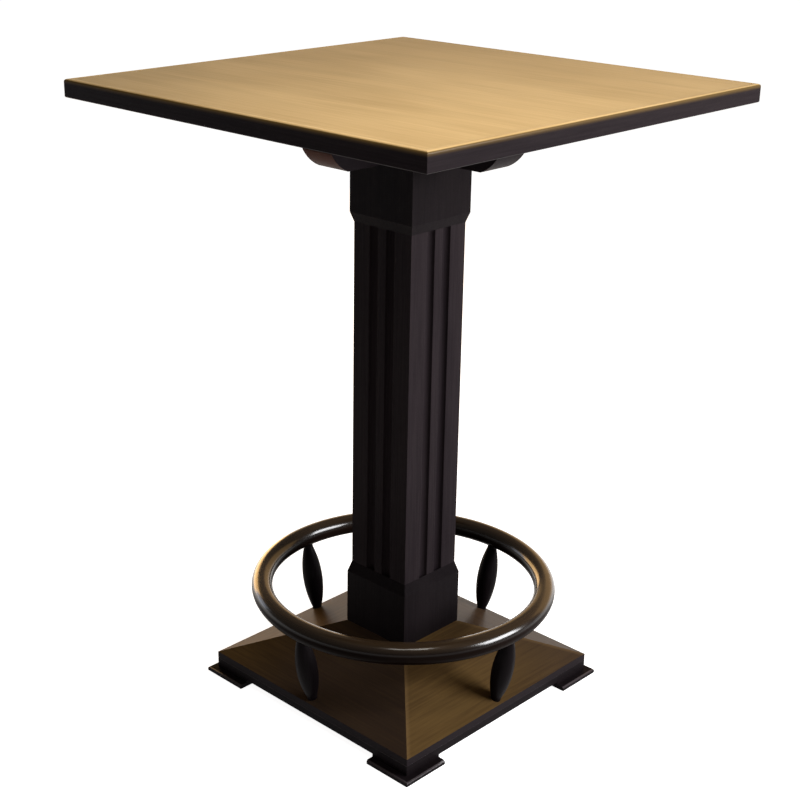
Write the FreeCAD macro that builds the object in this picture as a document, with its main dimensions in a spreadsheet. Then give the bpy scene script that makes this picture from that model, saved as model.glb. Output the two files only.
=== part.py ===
"""Pub table: a square top on a fluted box column, with a hipped base and a foot ring.

Millimetres, +Z up. The origin is on the floor, on the column's axis.
Four-fold pieces are drawn on the front side (-Y) and turned about the axis to the other sides.
"""
import FreeCAD
import Part

import math
import operator
import os
from types import SimpleNamespace

import Sketcher

Vector = FreeCAD.Vector
X_AXIS = Vector(1, 0, 0)
Y_AXIS = Vector(0, 1, 0)
Z_AXIS = Vector(0, 0, 1)

# Every driving dimension, with what it measures.
SIZES = {
    # top
    "table_height": (1100, "floor to table surface"),
    "top_width": (800, "side of the square top"),
    "top_thickness": (30, "top with its veneer"),
    "veneer_thickness": (1.5, "face veneer"),
    "veneer_margin": (10, "lipping left bare outside the veneer"),
    "backing_thickness": (1, "balancing sheet under the core"),
    "lipping_width": (12, "solid edge strip"),
    "top_arris": (2.5, "rounding along the upper edge"),
    "bottom_arris": (1.5, "bevel along the lower edge"),
    # cross bearers
    "bearer_length": (428, "end to end"),
    "bearer_width": (66, "across the grain"),
    "bearer_depth": (87, "below the top"),
    "bearer_nose_length": (36, "rounded stretch at each end"),
    "bearer_nose_height": (31, "height of the rounded stretch"),
    "bearer_nose_radius": (75, "round of the nose"),
    # column
    "column_width": (132, "side of the square shaft"),
    "column_board": (20, "thickness of the four boards"),
    "flute_width": (20, "mouth of a flute"),
    "flute_depth": (8, "depth of a flute"),
    "flute_spacing": (38, "between the two flutes of a face"),
    "capital_proud": (5.5, "capital board in front of the shaft"),
    "capital_height": (204, "top to the foot of the capital's bevel"),
    "capital_bevel": (17.5, "height of the capital's bevel"),
    "plinth_proud": (6, "plinth board in front of the shaft"),
    "plinth_height": (123, "base panel to the top of the plinth's bevel"),
    "plinth_bevel": (20.5, "height of the plinth's bevel"),
    "column_block": (60, "height of the blocks inside the column"),
    # hipped base
    "base_width": (485, "side of the base"),
    "base_edge": (27, "height of the upright edge"),
    "base_rise": (69, "edge to the foot of the plinth"),
    "panel_depth": (13, "sloping panel, measured plumb"),
    "rail_width": (28, "edge rail under the panels"),
    "base_board": (18, "bottom board"),
    "rib_width": (18, "rib under each hip"),
    # corner feet
    "foot_leg": (94, "side of the square foot slab"),
    "foot_slab": (8, "thickness of the slab"),
    "foot_bevel": (2.5, "bevel on the slab's outer edges"),
    "foot_projection": (14, "slab outside the base"),
    "riser_height": (5, "riser between slab and base"),
    # foot ring and its spindles
    "ring_radius": (258, "axis to the middle of the rail"),
    "ring_rail": (38, "diameter of the round rail"),
    "ring_height": (191, "floor to the middle of the rail"),
    "spindle_inset": (13.5, "base edge to the foot of a spindle"),
    "spindle_neck": (18, "diameter of the ends"),
    "spindle_belly": (38, "diameter of the middle"),
    "spindle_neck_length": (3, "bare neck at each end"),
    "spindle_spigot": (20, "length let into the base"),
    "dowel_diameter": (10, "dowel between two ring segments"),
    "dowel_length": (50, "length of that dowel"),
    # ironmongery
    "tie_rod": (10, "diameter of the rod through the column"),
    "nut_flats": (17, "across the flats"),
    "nut_height": (8, "height of a nut"),
    "washer_diameter": (30, "outside of a washer"),
    "washer_thickness": (2.5, "thickness of a washer"),
    "rod_end": (2, "rod past its nut"),
    "nut_recess": (36, "diameter of the sinking for a nut"),
    "upper_recess_depth": (20, "sinking in the upper bearer"),
    "lower_recess_depth": (6, "sinking in the bottom board"),
    "bearer_screw": (5, "shank of a bearer screw"),
    "bearer_screw_head": (10, "head of a bearer screw"),
    "bearer_screw_bite": (18, "length in the top"),
    "bearer_screw_wood": (30, "wood between the head and the top"),
    "bearer_screw_reach": (150, "axis to a bearer screw"),
    "bearer_screw_bore": (12, "bore that the head is sunk in"),
    "foot_screw": (4, "shank of a foot screw"),
    "foot_screw_head": (8, "head of a foot screw"),
    "foot_screw_bite": (12, "length in the bottom board"),
    "foot_screw_setback": (26, "rails to the screw of a foot"),
    "clearance": (0.1, "radial play of rods, dowels and spigots"),
}

SIDES = {"front": 0, "right": 90, "back": 180, "left": 270}
CORNERS = {"front_right": 0, "back_right": 90, "back_left": 180, "front_left": 270}
# The arms of each bearer; the upper one crosses over the lower.
ARMS = {"bearer_lower": ("right", "left"), "bearer_upper": ("front", "back")}
FULL_TURN = 360
QUARTER = FULL_TURN / 4
# How far a cutting tool runs past the face it enters, and the smallest distance told apart.
OVERCUT = 1
TINY = 1e-6
OPERATIONS = {"+": operator.add, "-": operator.sub, "*": operator.mul, "/": operator.truediv}


class Size:
    """A length that knows its number and the sheet expression that gives it."""

    def __init__(self, value, text):
        self.value = value
        self.text = text

    def __add__(self, other):
        return combine(self, "+", other)

    def __radd__(self, other):
        return combine(other, "+", self)

    def __sub__(self, other):
        return combine(self, "-", other)

    def __rsub__(self, other):
        return combine(other, "-", self)

    def __mul__(self, other):
        return combine(self, "*", other)

    def __rmul__(self, other):
        return combine(other, "*", self)

    def __truediv__(self, other):
        return combine(self, "/", other)

    def __neg__(self):
        return combine(0, "-", self)


def as_size(number):
    """A plain number as a Size."""
    return number if isinstance(number, Size) else Size(float(number), repr(float(number)))


def combine(left, sign, right):
    """Two lengths joined by one arithmetic sign."""
    left = as_size(left)
    right = as_size(right)
    value = OPERATIONS[sign](left.value, right.value)
    return Size(value, f"({left.text} {sign} {right.text})")


def root(square):
    """The square root of a Size."""
    return Size(math.sqrt(square.value), f"sqrt({square.text})")


doc = FreeCAD.newDocument("pub_table")
sheet = doc.addObject("Spreadsheet::Sheet", "Sizes")
for row, (alias, (number, meaning)) in enumerate(SIZES.items(), start=1):
    sheet.set(f"A{row}", meaning)
    sheet.set(f"B{row}", str(number))
    sheet.setAlias(f"B{row}", alias)
doc.recompute()

S = SimpleNamespace(**{alias: Size(float(number), f"Sizes.{alias}") for alias, (number, _) in SIZES.items()})

# Heights and half widths that several pieces share.
top_under = S.table_height - S.top_thickness
bearer_low = top_under - S.bearer_depth
column_half = S.column_width / 2
column_inside = column_half - S.column_board
capital_half = column_half + S.capital_proud
plinth_half = column_half + S.plinth_proud
base_half = S.base_width / 2
rail_inside = base_half - S.rail_width
base_low = S.foot_slab + S.riser_height
edge_top = base_low + S.base_edge
board_top = base_low + S.base_board
slope = S.base_rise / (base_half - plinth_half)
spindle_foot = base_half - S.spindle_inset

nodes = {}


def panel_top(distance):
    """Height of the sloping panels' upper face at a distance from the axis."""
    return edge_top + (base_half - distance) * slope


def panel_under(distance):
    """Height of the sloping panels' lower face at a distance from the axis."""
    return panel_top(distance) - S.panel_depth


def bind(thing, **sizes):
    """Tie properties of an object to sheet expressions."""
    for name, size in sizes.items():
        thing.setExpression(name, as_size(size).text)
    return thing


def move(thing, x=0, y=0, z=0):
    """Tie an object's position to sheet expressions."""
    for axis, place in zip("xyz", (x, y, z)):
        thing.setExpression(f"Placement.Base.{axis}", as_size(place).text)
    return thing


def turned(angle):
    """A quarter turn, or more of them, about the table's axis."""
    return FreeCAD.Placement(Vector(0, 0, 0), FreeCAD.Rotation(Z_AXIS, angle))


def keep(thing, name, angle=0):
    """Name a finished piece, turn it to its side and list it for export."""
    if angle:
        thing.Placement = turned(angle) * thing.Placement
    thing.Label = name
    nodes[name] = thing
    return thing


def box(name, width, depth, height, x, y, z):
    """A block by its size and its low corner."""
    block = doc.addObject("Part::Box", name)
    bind(block, Length=width, Width=depth, Height=height)
    return move(block, x, y, z)


def square_block(name, width, low, high):
    """A square block about the axis, between two heights."""
    return box(name, width, width, high - low, -width / 2, -width / 2, low)


def cylinder(name, diameter, height, x=0, y=0, z=0):
    """An upright round bar by its foot."""
    bar = doc.addObject("Part::Cylinder", name)
    bind(bar, Radius=as_size(diameter) / 2, Height=height)
    return move(bar, x, y, z)


def mitred(name, outer, inner, low, high, inner_low=None, inner_high=None):
    """A strip along the front side, its ends mitred to meet its neighbours at the diagonals."""
    strip = doc.addObject("Part::Wedge", name)
    return bind(
        strip,
        Ymin=-outer, Xmin=-outer, Xmax=outer, Zmin=low, Zmax=high,
        Ymax=-inner, X2min=-inner, X2max=inner,
        Z2min=low if inner_low is None else inner_low,
        Z2max=high if inner_high is None else inner_high,
    )


def gathered(name, pieces):
    """Several separate solids as one object."""
    group = doc.addObject("Part::Compound", name)
    group.Links = pieces
    return group


def placed(name, thing, placement):
    """A finished piece or tool put somewhere else as a whole."""
    moved = gathered(name, [thing])
    moved.Placement = placement
    return moved


def cut(name, blank, tools):
    """A blank with one or more tools taken away."""
    result = doc.addObject("Part::Cut", name)
    result.Base = blank
    result.Tool = tools[0] if len(tools) == 1 else gathered(f"{name}_tools", tools)
    return result


def common(name, first, second):
    """The space that two solids share."""
    result = doc.addObject("Part::Common", name)
    result.Base = first
    result.Tool = second
    return result


def new_body(name):
    """An empty PartDesign body."""
    return doc.addObject("PartDesign::Body", f"{name}_body")


def new_sketch(body, role):
    """A sketch on one of a body's own origin planes."""
    sketch = body.newObject("Sketcher::SketchObject", f"{body.Name}_sketch")
    plane = next(item for item in body.Origin.OriginFeatures if item.Role == role)
    sketch.AttachmentSupport = (plane, [""])
    sketch.MapMode = "FlatFace"
    return sketch


def pin(sketch, piece, end, across, up):
    """Hold one end of a sketch line at two driven distances from the origin."""
    for kind, size, axis in (("DistanceX", across, -2), ("DistanceY", up, -1)):
        if isinstance(size, Size):
            index = sketch.addConstraint(Sketcher.Constraint(kind, -1, 1, piece, end, size.value))
            sketch.setExpression(f"Constraints[{index}]", size.text)
        else:
            sketch.addConstraint(Sketcher.Constraint("PointOnObject", piece, end, axis))


def arc_between(start, end, radius):
    """An arc that bulges to the left of the way from start to end, or right if radius is negative."""
    way = end - start
    half = way.Length / 2
    rise = abs(radius) - math.sqrt(radius * radius - half * half)
    side = Vector(-way.y, way.x, 0).normalize()
    middle = (start + end) / 2 + side * math.copysign(rise, radius)
    return Part.Arc(start, middle, end)


def draw(sketch, corners):
    """Draw a closed outline: each corner is (across, up) or (across, up, radius of the arc after it).

    A corner on an axis has a plain 0 there. The radius is a Size, and a minus sign before it
    turns the bulge from the left of the way to the right.
    """
    points = [Vector(as_size(corner[0]).value, as_size(corner[1]).value, 0) for corner in corners]
    ends = []
    for index, corner in enumerate(corners):
        start = points[index]
        end = points[(index + 1) % len(points)]
        if len(corner) == 2:
            sketch.addGeometry(Part.LineSegment(start, end))
            ends.append((1, 2))
            continue
        radius = corner[2]
        sketch.addGeometry(arc_between(start, end, radius.value))
        first, second = (sketch.getPoint(index, place).distanceToPoint(start) for place in (1, 2))
        ends.append((1, 2) if first < second else (2, 1))
        size = radius if radius.value > 0 else -radius
        held = sketch.addConstraint(Sketcher.Constraint("Radius", index, size.value))
        sketch.setExpression(f"Constraints[{held}]", size.text)
    for index, corner in enumerate(corners):
        following = (index + 1) % len(corners)
        sketch.addConstraint(
            Sketcher.Constraint("Coincident", index, ends[index][1], following, ends[following][0]))
        pin(sketch, index, ends[index][0], corner[0], corner[1])


def padded(body, sketch, length, both_ways=False):
    """Pad a sketch, to one side or equally to both."""
    pad = body.newObject("PartDesign::Pad", f"{body.Name}_pad")
    pad.Profile = sketch
    pad.SideType = "Symmetric" if both_ways else "One side"
    bind(pad, Length=length)
    body.Tip = pad
    return pad


def revolved(body, sketch, angle):
    """Turn a sketch about its upright axis, equally to both sides of it."""
    turn = body.newObject("PartDesign::Revolution", f"{body.Name}_turn")
    turn.Profile = sketch
    turn.ReferenceAxis = (sketch, ["V_Axis"])
    turn.Angle = angle
    turn.Midplane = True
    body.Tip = turn
    return turn


def screw(name, shank, head, length, x, y, z):
    """A countersunk screw, head down, its shank pointing up."""
    cone = doc.addObject("Part::Cone", f"{name}_head")
    bind(cone, Radius1=head / 2, Radius2=shank / 2, Height=(head - shank) / 2)
    move(cone, x, y, z)
    stem = cylinder(f"{name}_shank", shank, length, x, y, z)
    whole = doc.addObject("Part::Fuse", name)
    whole.Base = cone
    whole.Tool = stem
    return whole


def build_bearer_screws():
    """A screw up through each arm of the bearers into the core, and the bore its head is sunk in."""
    head_low = top_under - S.bearer_screw_wood
    length = S.bearer_screw_wood + S.bearer_screw_bite
    screws = {}
    bores = {}
    for side, angle in SIDES.items():
        fixing = screw(f"bearer_screw_{side}_fixing", S.bearer_screw, S.bearer_screw_head, length,
                       0, -S.bearer_screw_reach, head_low)
        screws[side] = placed(f"bearer_screw_{side}", fixing, turned(angle))
        bore = cylinder(f"bearer_bore_{side}_drill", S.bearer_screw_bore, head_low - bearer_low + OVERCUT,
                        y=-S.bearer_screw_reach, z=bearer_low - OVERCUT)
        bores[side] = placed(f"bearer_bore_{side}", bore, turned(angle))
    keep(gathered("bearer_screws", list(screws.values())), "bearer_screws")
    return screws, bores


def build_top(screws):
    """Core, face veneer, balancing sheet and four mitred lippings."""
    fixings = list(screws.values())
    core_half = S.top_width / 2 - S.lipping_width
    core_low = top_under + S.backing_thickness
    core_high = S.table_height - S.veneer_thickness
    core = square_block("core_blank", core_half * 2, core_low, core_high)
    keep(cut("top_core_drilled", core, fixings), "top_core")
    backing = square_block("backing_blank", core_half * 2, top_under, core_low)
    keep(cut("backing_drilled", backing, fixings), "top_backing_sheet")
    veneer_half = S.top_width / 2 - S.veneer_margin
    veneer = square_block("veneer_sheet", veneer_half * 2, core_high, S.table_height)
    keep(veneer, "top_veneer")
    for side, angle in SIDES.items():
        build_lipping(f"lipping_{side}", angle, core_half, veneer_half, core_high)


def build_lipping(name, angle, core_half, veneer_half, core_high):
    """A solid edge strip, rebated for the veneer and mitred at both ends."""
    half = S.top_width / 2
    body = new_body(name)
    sketch = new_sketch(body, "YZ_Plane")
    draw(sketch, [
        (-half, top_under + S.bottom_arris),
        (-(half - S.bottom_arris), top_under),
        (-core_half, top_under),
        (-core_half, core_high),
        (-veneer_half, core_high),
        (-veneer_half, S.table_height),
        (-(half - S.top_arris), S.table_height, S.top_arris),
        (-half, S.table_height - S.top_arris),
    ])
    padded(body, sketch, S.top_width, both_ways=True)
    envelope = mitred(f"{name}_mitre", half, core_half, top_under, S.table_height)
    keep(common(f"{name}_cut", body, envelope), name, angle)


def build_bearers(screws, bores, rod_bore):
    """Two deep bearers, halved over each other where they cross."""
    lap = S.bearer_depth / 2
    lap_width = S.bearer_width + S.clearance * 2
    sinking = cylinder("upper_recess", S.nut_recess, S.upper_recess_depth + OVERCUT,
                       z=top_under - S.upper_recess_depth)
    for name, angle, lap_low in (("bearer_lower", 0, bearer_low + lap),
                                 ("bearer_upper", QUARTER, bearer_low - OVERCUT)):
        beam = build_bearer_beam(name)
        beam.Placement = turned(angle)
        notch = box(f"{name}_lap", lap_width, lap_width, lap + OVERCUT,
                    -lap_width / 2, -lap_width / 2, lap_low)
        drilled = [group[side] for group in (screws, bores) for side in ARMS[name]]
        keep(cut(f"{name}_cut", beam, [notch, rod_bore, sinking] + drilled), name)


def build_bearer_beam(name):
    """A bearer before it is halved: a straight beam whose lower corners are rounded to noses."""
    end = S.bearer_length / 2
    flat = end - S.bearer_nose_length
    nose_top = bearer_low + S.bearer_nose_height
    body = new_body(name)
    sketch = new_sketch(body, "XZ_Plane")
    draw(sketch, [
        (-end, top_under),
        (-end, nose_top, -S.bearer_nose_radius),
        (-flat, bearer_low),
        (flat, bearer_low, -S.bearer_nose_radius),
        (end, nose_top),
        (end, top_under),
    ])
    padded(body, sketch, S.bearer_width, both_ways=True)
    return body


def build_column(rod_bore):
    """Four fluted boards, two inner blocks, the capital and the plinth."""
    slot_half = S.bearer_width / 2 + S.clearance
    slot = box("bearer_slot", slot_half * 2, S.column_width, S.bearer_depth + OVERCUT,
               -slot_half, -S.column_width, bearer_low)
    capital_low = top_under - S.capital_height
    plinth_high = panel_top(plinth_half) + S.plinth_height
    for side, angle in SIDES.items():
        board = build_column_board(f"column_board_{side}")
        keep(cut(f"column_board_{side}_slotted", board, [slot]), f"column_board_{side}", angle)
        capital = mitred(f"capital_{side}_blank", capital_half, column_half,
                         capital_low + S.capital_bevel, top_under, inner_low=capital_low)
        keep(cut(f"capital_{side}_slotted", capital, [slot]), f"capital_board_{side}", angle)
        plinth = mitred(f"plinth_{side}", plinth_half, column_half,
                        panel_top(plinth_half), plinth_high - S.plinth_bevel,
                        inner_low=panel_top(column_half), inner_high=plinth_high)
        keep(plinth, f"plinth_board_{side}", angle)
    for name, low, high in (("column_head_block", bearer_low - S.column_block, bearer_low),
                            ("column_foot_block", board_top, board_top + S.column_block)):
        block = square_block(f"{name}_blank", column_inside * 2, low, high)
        keep(cut(f"{name}_bored", block, [rod_bore]), name)


def build_column_board(name):
    """One board of the box column: mitred edges and two round-bottomed flutes."""
    flute_radius = (S.flute_width * S.flute_width / 4 + S.flute_depth * S.flute_depth) / (S.flute_depth * 2)
    near = (S.flute_spacing - S.flute_width) / 2
    far = (S.flute_spacing + S.flute_width) / 2
    body = new_body(name)
    sketch = new_sketch(body, "XY_Plane")
    draw(sketch, [
        (-column_half, -column_half),
        (-far, -column_half, flute_radius),
        (-near, -column_half),
        (near, -column_half, flute_radius),
        (far, -column_half),
        (column_half, -column_half),
        (column_inside, -column_inside),
        (-column_inside, -column_inside),
    ])
    padded(body, sketch, top_under - board_top)
    return move(body, z=board_top)


def build_base(rod_bore, foot_screws, socket):
    """Bottom board, edge rails, sloping panels mitred along the hips, and hip ribs."""
    drilled = list(foot_screws.values())
    board = square_block("base_board_blank", rail_inside * 2, base_low, board_top)
    sinking = cylinder("lower_recess", S.nut_recess, S.lower_recess_depth + OVERCUT,
                       z=base_low - OVERCUT)
    keep(cut("base_board_drilled", board, [rod_bore, sinking] + drilled), "base_board")
    for side, angle in SIDES.items():
        rail = mitred(f"rail_{side}_blank", base_half, rail_inside, base_low, panel_under(base_half),
                      inner_high=panel_under(rail_inside))
        keep(cut(f"rail_{side}_bored", rail, [socket]), f"base_rail_{side}", angle)
        panel = mitred(f"panel_{side}_blank", base_half, column_half,
                       panel_under(base_half), panel_top(base_half),
                       inner_low=panel_under(column_half), inner_high=panel_top(column_half))
        keep(cut(f"panel_{side}_bored", panel, [socket]), f"base_panel_{side}", angle)
    for corner, angle in CORNERS.items():
        build_hip_rib(f"hip_rib_{corner}", angle)


def build_hip_rib(name, angle):
    """A rib on the diagonal, bevelled to the two panels that meet over it."""
    diagonal = math.sqrt(2)
    inner = column_half * diagonal - S.rib_width
    outer = rail_inside * diagonal - S.rib_width / 2
    rib = box(f"{name}_blank", outer - inner, S.rib_width, panel_under(column_half) - board_top, 0, 0, 0)
    rib.Placement.Rotation = FreeCAD.Rotation(Z_AXIS, -QUARTER / 2)
    shift = S.rib_width / (2 * diagonal)
    move(rib, inner / diagonal - shift, -(inner / diagonal) - shift, board_top)
    front, right = (mitred(f"{name}_{side}", base_half, column_half, base_low, panel_under(base_half),
                           inner_high=panel_under(column_half)) for side in ("front", "right"))
    right.Placement = turned(QUARTER)
    space = doc.addObject("Part::Fuse", f"{name}_space")
    space.Base = front
    space.Tool = right
    keep(common(f"{name}_cut", rib, space), name, angle)


def build_feet():
    """At each corner a square slab with bevelled outer edges, a riser and the screw that holds them."""
    outer = base_half + S.foot_projection
    inner = outer - S.foot_leg
    riser_side = base_half - inner
    middle = rail_inside - S.foot_screw_setback
    screws = {}
    for corner, angle in CORNERS.items():
        fixing = screw(f"foot_screw_{corner}_fixing", S.foot_screw, S.foot_screw_head,
                       base_low + S.foot_screw_bite, middle, -middle, 0)
        screws[corner] = placed(f"foot_screw_{corner}", fixing, turned(angle))
        slab = build_foot_slab(f"foot_slab_{corner}", inner, outer)
        keep(cut(f"foot_slab_{corner}_drilled", slab, [fixing]), f"foot_slab_{corner}", angle)
        riser = box(f"riser_{corner}_blank", riser_side, riser_side, S.riser_height,
                    inner, -base_half, S.foot_slab)
        keep(cut(f"riser_{corner}_drilled", riser, [fixing]), f"foot_riser_{corner}", angle)
    keep(gathered("foot_screws", list(screws.values())), "foot_screws")
    return screws


def build_foot_slab(name, inner, outer):
    """The slab of the front right foot."""
    body = new_body(name)
    sketch = new_sketch(body, "XY_Plane")
    draw(sketch, [(inner, -outer), (outer, -outer), (outer, -inner), (inner, -inner)])
    pad = padded(body, sketch, S.foot_slab)
    doc.recompute()
    bevel = body.newObject("PartDesign::Chamfer", f"{name}_bevel")
    edges = []
    for index, edge in enumerate(pad.Shape.Edges, start=1):
        centre = edge.BoundBox.Center
        on_top = abs(centre.z - S.foot_slab.value) < TINY
        outward = abs(centre.x - outer.value) < TINY or abs(centre.y + outer.value) < TINY
        if on_top and outward:
            edges.append(f"Edge{index}")
    bevel.Base = (pad, edges)
    bind(bevel, Size=S.foot_bevel)
    body.Tip = bevel
    return body


def leaned(thing):
    """Stand a piece on the front panel and lean it out to the middle of the ring's rail."""
    run = S.ring_radius - spindle_foot
    rise = S.ring_height - panel_top(spindle_foot)
    thing.Placement.Rotation = FreeCAD.Rotation(X_AXIS, QUARTER)
    thing.setExpression("Placement.Rotation.Angle", f"atan2({run.text}; {rise.text})")
    return move(thing, 0, -spindle_foot, panel_top(spindle_foot))


def build_spindles():
    """Four turned spindles, and the socket that the front one is let into at both ends."""
    run = S.ring_radius - spindle_foot
    rise = S.ring_height - panel_top(spindle_foot)
    length = root(run * run + rise * rise)
    neck = S.spindle_neck / 2
    low = S.spindle_neck_length
    high = length - S.ring_rail / 2 - S.spindle_neck_length
    swell = (S.spindle_belly - S.spindle_neck) / 2
    half_arc = (high - low) / 2
    belly_radius = (half_arc * half_arc + swell * swell) / (swell * 2)
    for side, angle in SIDES.items():
        body = new_body(f"spindle_{side}")
        sketch = new_sketch(body, "XZ_Plane")
        draw(sketch, [
            (0, -S.spindle_spigot),
            (neck, -S.spindle_spigot),
            (neck, low, -belly_radius),
            (neck, high),
            (neck, length),
            (0, length),
        ])
        revolved(body, sketch, FULL_TURN)
        keep(placed(f"spindle_{side}_leaning", leaned(body), turned(angle)), f"spindle_{side}")
    bar = cylinder("spindle_socket_bar", S.spindle_neck + S.clearance * 2,
                   length + S.spindle_spigot + S.clearance * 2, z=-(S.spindle_spigot + S.clearance))
    return leaned(gathered("spindle_socket", [bar]))


def ring_joint_bar(name, diameter, length, angle):
    """A straight bar across a joint of the ring, for a dowel or its hole."""
    bar = doc.addObject("Part::Cylinder", f"{name}_bar")
    bind(bar, Radius=diameter / 2, Height=length)
    bar.Placement.Rotation = FreeCAD.Rotation(Y_AXIS, QUARTER)
    move(bar, -length / 2, -S.ring_radius, S.ring_height)
    return placed(name, bar, turned(angle))


def build_ring(socket):
    """Foot ring of four quarter segments, dowelled end to end, bored for the spindles."""
    dowels = []
    holes = {}
    for corner, angle in CORNERS.items():
        joint = angle + QUARTER / 2
        dowels.append(ring_joint_bar(f"dowel_{corner}", S.dowel_diameter, S.dowel_length, joint))
        holes[corner] = ring_joint_bar(f"dowel_hole_{corner}", S.dowel_diameter + S.clearance * 2,
                                       S.dowel_length + S.clearance * 2, joint)
    keep(gathered("ring_dowels", dowels), "ring_dowels")
    for side, angle in SIDES.items():
        body = new_body(f"ring_segment_{side}")
        sketch = new_sketch(body, "YZ_Plane")
        circle = sketch.addGeometry(
            Part.Circle(Vector(-S.ring_radius.value, S.ring_height.value, 0), Z_AXIS, S.ring_rail.value / 2))
        pin(sketch, circle, 3, -S.ring_radius, S.ring_height)
        held = sketch.addConstraint(Sketcher.Constraint("Radius", circle, S.ring_rail.value / 2))
        sketch.setExpression(f"Constraints[{held}]", (S.ring_rail / 2).text)
        revolved(body, sketch, QUARTER)
        tools = [socket, holes["front_right"], holes["front_left"]]
        keep(cut(f"ring_{side}_bored", body, tools), f"ring_segment_{side}", angle)


def build_tie_rod():
    """A threaded rod from the bottom board to the crossing of the bearers, with nuts and washers."""
    ceiling = base_low + S.lower_recess_depth
    floor = top_under - S.upper_recess_depth
    stack = S.washer_thickness + S.nut_height
    low = ceiling - stack - S.rod_end
    high = floor + stack + S.rod_end
    rod = keep(cylinder("tie_rod_bar", S.tie_rod, high - low, z=low), "tie_rod")
    washers = []
    nuts = []
    for mark, washer_low, nut_low in (
            ("lower", ceiling - S.washer_thickness, ceiling - stack),
            ("upper", floor, floor + S.washer_thickness)):
        disc = cylinder(f"washer_{mark}_disc", S.washer_diameter, S.washer_thickness, z=washer_low)
        washers.append(cut(f"washer_{mark}", disc, [rod]))
        prism = doc.addObject("Part::Prism", f"nut_{mark}_prism")
        prism.Polygon = 6
        bind(prism, Circumradius=S.nut_flats / math.sqrt(3), Height=S.nut_height)
        move(prism, z=nut_low)
        nuts.append(cut(f"nut_{mark}", prism, [rod]))
    keep(gathered("tie_washers", washers), "tie_washers")
    keep(gathered("tie_nuts", nuts), "tie_nuts")


def build_table():
    """Every piece of the table."""
    rod_bore = cylinder("tie_rod_bore", S.tie_rod + S.clearance * 2, S.table_height)
    bearer_screws, bores = build_bearer_screws()
    build_top(bearer_screws)
    build_bearers(bearer_screws, bores, rod_bore)
    build_column(rod_bore)
    foot_screws = build_feet()
    socket = build_spindles()
    build_base(rod_bore, foot_screws, socket)
    build_ring(socket)
    build_tie_rod()


def check_and_export():
    """Stop on any failed object or shape, then write one STEP file for each piece."""
    doc.recompute()
    for thing in doc.Objects:
        if "Invalid" in thing.State or "Error" in thing.State:
            raise RuntimeError(f"{thing.Name} failed: {thing.State}")
    for name, thing in nodes.items():
        if thing.Label != name:
            raise RuntimeError(f"{name} is labelled {thing.Label}")
        if thing.Shape.isNull() or not thing.Shape.isValid() or thing.Shape.Volume <= 0:
            raise RuntimeError(f"{name} has no valid solid")
    os.makedirs("parts", exist_ok=True)
    for name, thing in nodes.items():
        thing.Shape.exportStep(f"parts/{name}.step")
        print(f"{name}: {len(thing.Shape.Solids)} solid(s), {thing.Shape.Volume / 1000:.2f} cm3")


build_table()
check_and_export()
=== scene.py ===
"""Looks of the pub table: softened boards, fasteners, finishes, stage and camera."""

import math

import bmesh
import bpy
from mathutils import Matrix, Vector


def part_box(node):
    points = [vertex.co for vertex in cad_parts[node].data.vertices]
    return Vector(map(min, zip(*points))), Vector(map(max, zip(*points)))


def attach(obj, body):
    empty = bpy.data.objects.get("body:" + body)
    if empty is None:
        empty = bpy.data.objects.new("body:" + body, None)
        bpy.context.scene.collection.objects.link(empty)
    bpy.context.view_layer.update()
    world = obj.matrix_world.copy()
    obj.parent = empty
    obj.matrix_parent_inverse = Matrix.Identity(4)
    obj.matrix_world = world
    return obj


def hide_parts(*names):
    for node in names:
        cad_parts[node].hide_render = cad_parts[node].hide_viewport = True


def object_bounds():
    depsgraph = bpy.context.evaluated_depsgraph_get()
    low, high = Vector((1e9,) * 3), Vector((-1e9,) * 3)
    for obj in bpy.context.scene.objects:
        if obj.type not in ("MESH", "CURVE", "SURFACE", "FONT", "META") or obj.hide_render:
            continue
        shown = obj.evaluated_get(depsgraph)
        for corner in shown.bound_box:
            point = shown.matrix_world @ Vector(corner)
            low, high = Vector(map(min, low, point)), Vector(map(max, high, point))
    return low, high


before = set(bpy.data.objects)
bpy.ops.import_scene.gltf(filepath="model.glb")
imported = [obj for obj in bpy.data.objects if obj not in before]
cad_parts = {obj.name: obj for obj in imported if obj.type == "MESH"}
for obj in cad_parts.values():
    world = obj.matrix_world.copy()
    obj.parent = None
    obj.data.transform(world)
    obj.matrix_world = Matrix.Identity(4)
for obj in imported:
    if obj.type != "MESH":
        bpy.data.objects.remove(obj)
CAD_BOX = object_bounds()

bl_info = {
    "name": "Pub table",
    "version": (1, 0, 0),
    "blender": (4, 5, 0),
    "location": "3D View > Sidebar > Pub table",
    "description": "Dresses a pub table's frame with softened boards, fasteners and wood finishes",
    "category": "Object",
}

BODY = "root"
# The table's sides, and the way that the grain of its top and its base runs along each.
SIDE_WAYS = {"front": "x", "right": "y", "back": "x", "left": "y"}
CORNERS = ("front_right", "back_right", "back_left", "front_left")

# Measures of the frame: half the top's width, the table's height, and the middle of the foot ring.
TOP_REACH, _, TABLE_HEIGHT = CAD_BOX[1]
RING_LOW, RING_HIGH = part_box("ring_segment_right")
RING_RADIUS = RING_HIGH.x - (RING_HIGH.z - RING_LOW.z) / 2
# Width of the arris along the top's upper edge.
TOP_ARRIS = 0.0025

# Distances below which two places count as one, on boards and on small turned pieces, and the
# distance from a diagonal within which an edge belongs to a mitre.
SAME_PLACE = 0.00002
SAME_TURNED_PLACE = SAME_PLACE / 4
MITRE_REACH = SAME_PLACE * 5
# Turns between two faces: above the first an edge is rounded, below the second it is shaded as
# smooth, and below the third the faces are one.
SHARP_TURN = math.radians(18)
SMOOTH_TURN = math.radians(35)
FLAT_TURN = math.radians(0.5)

# Depth of a thread, as a share of its pitch.
THREAD_DEPTH = 0.35
# A screw's plain neck, as a share of its length, and its point, as a share of its shank's radius.
NECK_LENGTH = 0.22
POINT_LENGTH = 1.6
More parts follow.
